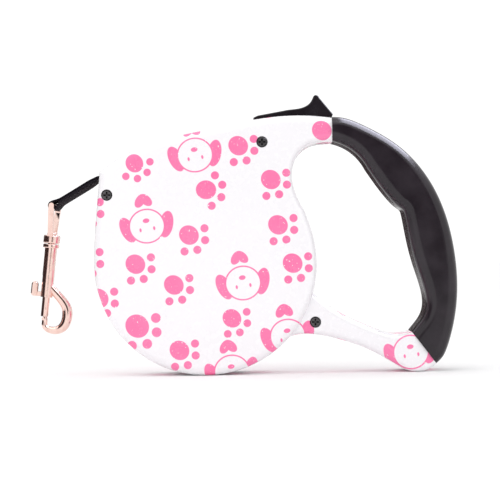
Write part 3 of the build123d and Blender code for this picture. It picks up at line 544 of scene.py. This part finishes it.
def wound_layers(name, centre, pitch_mm, dark, light, rough, metallic):
    """A strip wound on itself: fine rings at the strip's pitch, on the faces across the axis, with painted shade where
    the layers meet.
    """
    material, graph, shader, point = new_material(name)
    from_axis = graph.vector("SUBTRACT", point, centre / MM)
    flat = graph.vector("MULTIPLY", from_axis, (1, 0, 1))
    ring = graph.maths("FRACT", graph.maths("DIVIDE", graph.vector("LENGTH", flat), pitch_mm))
    # painted shade: each ring is darker where it meets the next layer and lighter across its middle
    edge = graph.ramp(graph.maths("ABSOLUTE", graph.maths("SUBTRACT", ring, 0.5)), 0.3, 0.48, 1, 0)
    fuzz = graph.noise(point, 2.5, 4, 0.6)
    colour = graph.mix(graph.maths("MULTIPLY", edge, fuzz), dark, light)
    graph.feed(shader["Base Color"], colour)
    graph.feed(shader["Normal"], graph.bump(graph.maths("ADD", edge, fuzz), 0.6, 0.15))
    shader["Roughness"].default_value = rough
    shader["Metallic"].default_value = metallic
    return material


def thread():
    """Twisted sewing thread."""
    material, graph, shader, point = new_material("thread")
    twist = graph.noise(point, 6.0, 2)
    graph.feed(shader["Base Color"], graph.mix(twist, (0.012, 0.011, 0.013, 1), (0.04, 0.036, 0.042, 1)))
    graph.feed(shader["Normal"], graph.bump(twist, 0.5, 0.05))
    shader["Roughness"].default_value = 0.55
    return material


ROSE = (0.90, 0.67, 0.60, 1)
ROSE_WORN = (0.84, 0.57, 0.50, 1)
STEEL = (0.62, 0.62, 0.63, 1)
STEEL_WORN = (0.50, 0.50, 0.52, 1)


def material_for_nodes():
    """Every CAD node's material."""
    case = printed_plastic()
    grip = moulded_plastic("satin_black", (0.015, 0.011, 0.015, 1), (0.024, 0.018, 0.024, 1),
                           0.19, 0.35, 0.38, seam=True)
    button = moulded_plastic("button_black", (0.009, 0.006, 0.009, 1), (0.014, 0.011, 0.015, 1),
                             0.22, 0.3, 0.32)
    lever = moulded_plastic("lever_grey", (0.10, 0.10, 0.105, 1), (0.13, 0.13, 0.135, 1), 0.5, 0.3)
    acetal = moulded_plastic("acetal", (0.72, 0.72, 0.70, 1), (0.78, 0.78, 0.76, 1), 0.42, 0.5)
    steel = metal("turned_steel", STEEL, STEEL_WORN, 0.22, (1, 9, 1))
    oxide = black_oxide()
    rose = metal("rose_gold", ROSE, ROSE_WORN, 0.10, (1.5, 1.5, 0.4), 0.10)
    drum = Vector(JOINTS["reel_spin"]["pos_m"])
    wound = wound_layers("wound_tape", drum, 0.9, (0.006, 0.006, 0.007, 1),
                         (0.05, 0.045, 0.055, 1), 0.8, 0)
    blued = wound_layers("blued_spring", drum, 0.8, (0.10, 0.11, 0.14, 1),
                         (0.34, 0.36, 0.42, 1), 0.3, 1)
    return {
        "front_shell": case, "rear_shell": case, "front_grip": grip, "rear_grip": grip,
        "case_screws": oxide, "guide_pin": steel, "guide_roller": steel, "centre_shaft": steel,
        "thrust_washers": acetal, "reel": acetal, "reel_flange": acetal, "spring_cover": acetal,
        "tape_winding": wound, "power_spring": blued, "lever_pin": steel, "brake_lever": lever,
        "brake_button": button, "brake_spring": steel, "tape_lead": wound, "tape_end": wound,
        "swivel_eye": rose, "swivel_rivet": rose, "hook_body": rose, "gate_plunger": rose,
        "gate_spring": steel,
    }


def paint(piece, material):
    piece.data.materials.clear()
    piece.data.materials.append(material)


FINISHES = material_for_nodes()
for node, finish in FINISHES.items():
    paint(frame["nodes"][node], finish)


# ---------------------------------------------------------------- swept pieces
def sweep(mesh, stations, section):
    """Joins copies of a closed section, one at each station, and closes both ends.
    A station is a place with the directions that the section's two numbers run in."""
    rings = []
    for place, first, second in stations:
        rings.append([mesh.verts.new(place + first * u + second * v) for u, v in section])
    for near, far in zip(rings, rings[1:]):
        for i in range(len(section)):
            j = (i + 1) % len(section)
            mesh.faces.new((near[i], near[j], far[j], far[i]))
    mesh.faces.new(rings[0][::-1])
    mesh.faces.new(rings[-1])


def add_piece(name, mesh, material):
    bmesh.ops.recalc_face_normals(mesh, faces=mesh.faces)
    data = bpy.data.meshes.new(name)
    mesh.to_mesh(data)
    mesh.free()
    for face in data.polygons:
        face.use_smooth = True
    piece = bpy.data.objects.new(name, data)
    bpy.context.collection.objects.link(piece)
    paint(piece, material)
    return piece


def circle(radius, sides=8):
    return [(radius * cos(2 * pi * i / sides), radius * sin(2 * pi * i / sides)) for i in range(sides)]


# ---------------------------------------------------------------- tape
TAPE_WIDTH = 10 * MM
TAPE_THICK = 0.9 * MM
# the tape's route: off the winding, over the roller, out of the mouth and down to the eye
TAPE_ROUTE = (
    millimetres(-38.84, 0, 101.23), millimetres(-72, 0, 97.7), millimetres(-83.1, 0, 97.3),
    millimetres(-90, 0, 92.6), millimetres(-107, 0, 82.8),
)
LEAD_END = millimetres(-84.71, 0, 95.56)     # where the tape leaves the case's mouth
PAY_OUT = 1.4 * MM                           # the tape stretches over this length inside the mouth
TAPE_TWIST = radians(11)
LAYER = 0.5 * MM                             # each layer of the sewn end lies this far off its middle
FOLD_R = 1.95 * MM                           # middle of the tape, round the eye's bar
SPREAD = 4.5 * MM                            # the layers part over this length before the bar
FOLD_STEPS = 12
TWIST_FROM, TWIST_LONG = 2 * MM, 8 * MM      # the twist's start inside the mouth, and its length
DOUBLED_FROM = 1 * MM                        # the layers part this far inside the mouth
EDGE_R = 0.35 * MM
EYE = Vector(JOINTS["eye_swing"]["pos_m"])
EYE_BAR = Vector(JOINTS["eye_swing"]["axis"])
TAPE_ALONG = Vector(JOINTS["tape_payout"]["axis"])
ACROSS = Vector((0, 1, 0))


def read_route(points):
    """The points of the smooth line along a route."""
    curve = bpy.data.curves.new("route", "CURVE")
    curve.dimensions = "3D"
    curve.resolution_u = 24
    spline = curve.splines.new("NURBS")
    spline.points.add(len(points) - 1)
    for point, place in zip(spline.points, points):
        point.co = (*place, 1)
    spline.order_u = 3
    spline.use_endpoint_u = True
    holder = bpy.data.objects.new("route", curve)
    bpy.context.collection.objects.link(holder)
    line = bpy.data.meshes.new_from_object(holder)
    places = [vertex.co.copy() for vertex in line.vertices]
    bpy.data.objects.remove(holder)
    bpy.data.curves.remove(curve)
    bpy.data.meshes.remove(line)
    return places


def tape_section():
    half, thin = TAPE_WIDTH / 2 - EDGE_R, TAPE_THICK / 2 - EDGE_R
    corners = ((half, thin, 0), (-half, thin, 90), (-half, -thin, 180), (half, -thin, 270))
    section = []
    for u, v, start in corners:
        for step in (0, 45, 90):
            angle = radians(start + step)
            section.append((u + EDGE_R * cos(angle), v + EDGE_R * sin(angle)))
    return section


def tape_frame(line, index, travelled, total, mouth):
    """The tape's width and thickness directions at a point of its route."""
    ahead = line[min(index + 1, len(line) - 1)] - line[max(index - 1, 0)]
    ahead.normalize()
    up = Vector((ahead.z, 0, -ahead.x))
    twist = TAPE_TWIST * smooth((travelled - mouth + TWIST_FROM) / TWIST_LONG)
    wide = ACROSS * cos(twist) - up * sin(twist)
    wide = wide.lerp(EYE_BAR, smooth((travelled - total + SPREAD) / SPREAD)).normalized()
    return wide, (up - wide * up.dot(wide)).normalized()


def tape_stations(line):
    """Out along the upper layer, round the bar and back along the lower one."""
    travelled = [0.0]
    for near, far in zip(line, line[1:]):
        travelled.append(travelled[-1] + (far - near).length)
    total = travelled[-1]
    nearest = min(range(len(line)), key=lambda i: (line[i] - LEAD_END).length)
    mouth = travelled[nearest]
    upper, lower = [], []
    for index, (place, so_far) in enumerate(zip(line, travelled)):
        wide, up = tape_frame(line, index, so_far, total, mouth)
        off = LAYER * smooth((so_far - mouth + DOUBLED_FROM) / DOUBLED_FROM)
        off += (FOLD_R - LAYER) * smooth((so_far - total + SPREAD) / SPREAD)
        upper.append((place + up * off, wide, up))
        if so_far > mouth:
            lower.append((place - up * off, wide, -up))
    wide, up = upper[-1][1:]
    ahead = up.cross(wide).normalized()
    if ahead.dot(TAPE_ALONG) < 0:
        ahead = -ahead
    fold = []
    for step in range(1, FOLD_STEPS):
        angle = pi * step / FOLD_STEPS
        out = up * cos(angle) + ahead * sin(angle)
        fold.append((EYE + out * FOLD_R, wide, out))
    return upper + fold + lower[::-1], lower


STITCH_LONG, STITCH_GAP = 1.9 * MM, 0.5 * MM
STITCH_R = 0.16 * MM
STITCH_STEPS = 6
STITCH_RISE, STITCH_SUNK = 0.2 * MM, 0.05 * MM   # the arch over the tape, and its ends below the surface
STITCH_ROW = 3.4 * MM                        # both rows lie this far from the tape's middle
STITCH_CLEAR = 6 * MM                        # the rows stop this far from the eye's bar
STITCH_THIN = 0.4                            # the thread's share of its thickness where it goes in


def stitch(mesh, start, end, out):
    """One stitch: a short thread that rises out of the tape and goes back in."""
    across = (end - start).normalized().cross(out)
    stations = []
    for step in range(STITCH_STEPS + 1):
        share = step / STITCH_STEPS
        arch = sin(pi * share)
        thick = STITCH_THIN + (1 - STITCH_THIN) * arch
        place = start.lerp(end, share) + out * (arch * STITCH_RISE - STITCH_SUNK)
        stations.append((place, out * thick, across * thick))
    sweep(mesh, stations, circle(STITCH_R))


def make_stitches(lower):
    """Two rows of stitches on both sides of the sewn end."""
    mesh = bmesh.new()
    run = [station for station in lower if (station[0] - EYE).length > STITCH_CLEAR]
    first, first_wide, down = run[0]
    last, last_wide = run[-1][:2]
    under, over = TAPE_THICK / 2, TAPE_THICK / 2 + 2 * LAYER
    for side, out, lift in ((1, -down, over), (-1, -down, over), (1, down, under), (-1, down, under)):
        row_start = first + first_wide * side * STITCH_ROW + out * lift
        row_end = last + last_wide * side * STITCH_ROW + out * lift
        row = row_end - row_start
        count = int(row.length / (STITCH_LONG + STITCH_GAP))
        for i in range(count):
            near = row_start.lerp(row_end, i / count)
            stitch(mesh, near, near + row.normalized() * STITCH_LONG, out)
    piece = add_piece("tape_stitches", mesh, thread())
    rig.ride(piece, "tape_end")
    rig.slot(piece, "tape")
    return piece


def make_tape():
    line = read_route(TAPE_ROUTE)
    stations, lower = tape_stations(line)
    mesh = bmesh.new()
    sweep(mesh, stations, tape_section())
    tape = add_piece("tape", mesh, woven_tape())
    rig.replaces(tape, "tape_lead", "tape_end")
    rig.slot(tape, "tape")
    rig.blend(tape, "case", "tape_end", LEAD_END - TAPE_ALONG * PAY_OUT, LEAD_END)
    return tape, line, make_stitches(lower)


# ---------------------------------------------------------------- coil springs
COIL_STEPS = 24                              # stations per turn
BRAKE_COIL, GATE_COIL = (2.2, 0.5, 6), (1.35, 0.35, 12)  # radius, wire and turns


def make_coil(name, node, axis, bodies, radius_mm, wire_mm, turns):
    """A wound wire spring where the CAD has its plain one, with closed ends."""
    low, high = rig.box(node)
    centre = (low + high) / 2
    side = axis.orthogonal().normalized()
    other = axis.cross(side)
    length = (high - low).z - wire_mm * MM
    foot = centre - axis * length / 2
    radius = radius_mm * MM
    steps = turns * COIL_STEPS
    mesh = bmesh.new()
    stations = []
    for step in range(steps + 1):
        share = step / steps
        angle = 2 * pi * turns * share
        out = side * cos(angle) + other * sin(angle)
        stations.append((foot + axis * length * smooth(share) + out * radius, out, axis))
    sweep(mesh, stations, circle(wire_mm * MM / 2))
    spring = add_piece(name, mesh, FINISHES[node])
    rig.replaces(spring, node)
    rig.slot(spring, "steel")
    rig.blend(spring, bodies[0], bodies[1], foot, foot + axis * length)
    return spring


HOOK_UP = Vector(JOINTS["hook_swivel"]["axis"])
tape, tape_line, stitches = make_tape()
make_coil("brake_coil", "brake_spring", Vector((0, 0, 1)), ("case", "brake_lever"), *BRAKE_COIL)
gate_coil = make_coil("gate_coil", "gate_spring", -HOOK_UP, ("hook", "gate"), *GATE_COIL)
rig.cord(tape, exit=tape_line[0], length=0.072, diameter=TAPE_WIDTH, far_end="fitting",
        stiffness="medium", lay="hanging", path=tape_line,
        with_pieces=[stitches, gate_coil, frame["nodes"]["swivel_eye"], frame["nodes"]["swivel_rivet"],
                     frame["nodes"]["hook_body"], frame["nodes"]["gate_plunger"]])


# ---------------------------------------------------------------- studio
FLOOR_HALF = 6


def make_floor():
    mesh = bmesh.new()
    bmesh.ops.create_grid(mesh, x_segments=1, y_segments=1, size=FLOOR_HALF)
    material, graph, shader, point = new_material("pale_floor")
    mottle = graph.noise(point, 0.01, 3)
    graph.feed(shader["Base Color"], graph.mix(mottle, (0.92, 0.92, 0.92, 1), (0.95, 0.95, 0.95, 1)))
    shader["Roughness"].default_value = 0.9
    shader["Specular IOR Level"].default_value = 0.1
    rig.stage(add_piece("floor", mesh, material))


WORLD_LIGHT = 1.1
AIM = (0, 0, 0.06)                           # the lights point here
# each light's place, width and height, and brightness
TOP_LIGHT = ((-0.1, -0.35, 0.85), (0.7, 0.5), 0.8)
EDGE_LIGHT = ((0.34, 0.02, 0.62), (0.80, 0.42), 11)
EDGE_COLOUR = (0.84, 0.84, 1.0)
# black flags that only the gloss mirrors: middle, width and height, and which way each faces
FLAGS = (
    ("left_flag", (-0.36, -0.08, 0.06), (0.66, 0.50), (1, 0, 0)),
    ("front_flag", (0.20, -1.0, 0.06), (0.36, 0.40), (0, 1, 0)),
    ("rear_flag", (-0.22, 0.45, 0.10), (0.54, 0.44), (0, -1, 0)),
    ("high_flag", (0.20, -0.86, 0.36), (0.62, 0.52), (0, 1, 0)),
)


def make_world():
    world = bpy.data.worlds.new("studio")
    world.use_nodes = True
    background = world.node_tree.nodes["Background"].inputs
    background["Color"].default_value = (1, 1, 1, 1)
    background["Strength"].default_value = WORLD_LIGHT
    bpy.context.scene.world = world


def turn_to(piece, direction):
    piece.rotation_euler = Vector(direction).to_track_quat("-Z", "Y").to_euler()


def make_flags():
    material, graph, shader, point = new_material("black_flock")
    fibres = graph.noise(point, 0.5)
    graph.feed(shader["Base Color"], graph.mix(fibres, (0.03, 0.02, 0.02, 1), (0.06, 0.04, 0.04, 1)))
    shader["Specular IOR Level"].default_value = 0
    for name, place, size, facing in FLAGS:
        mesh = bmesh.new()
        bmesh.ops.create_grid(mesh, x_segments=1, y_segments=1, size=0.5)
        flag = add_piece(name, mesh, material)
        flag.location = place
        flag.scale = (*size, 1)
        turn_to(flag, facing)
        flag.visible_camera = flag.visible_diffuse = flag.visible_shadow = False
        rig.stage(flag)


def softbox(name, place, size, radiance, colour=(1, 1, 1)):
    """A rectangular light aimed at the leash, of the given brightness."""
    data = bpy.data.lights.new(name, "AREA")
    data.shape = "RECTANGLE"
    data.size, data.size_y = size
    data.energy = radiance * pi * size[0] * size[1]
    data.color = colour
    light = bpy.data.objects.new(name, data)
    light.location = place
    turn_to(light, Vector(AIM) - light.location)
    light.visible_camera = False
    bpy.context.collection.objects.link(light)
    return light


make_floor()
make_world()
make_flags()
softbox("top_light", *TOP_LIGHT)
edge_light = softbox("edge_light", *EDGE_LIGHT, EDGE_COLOUR)
edge_light.visible_diffuse = False
bpy.context.scene.view_settings.view_transform = "Standard"

with open("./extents.json", "w") as size_file:
    json.dump({"cad": CAD_BOX, "visual": [list(corner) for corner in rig.bounds()]}, size_file)
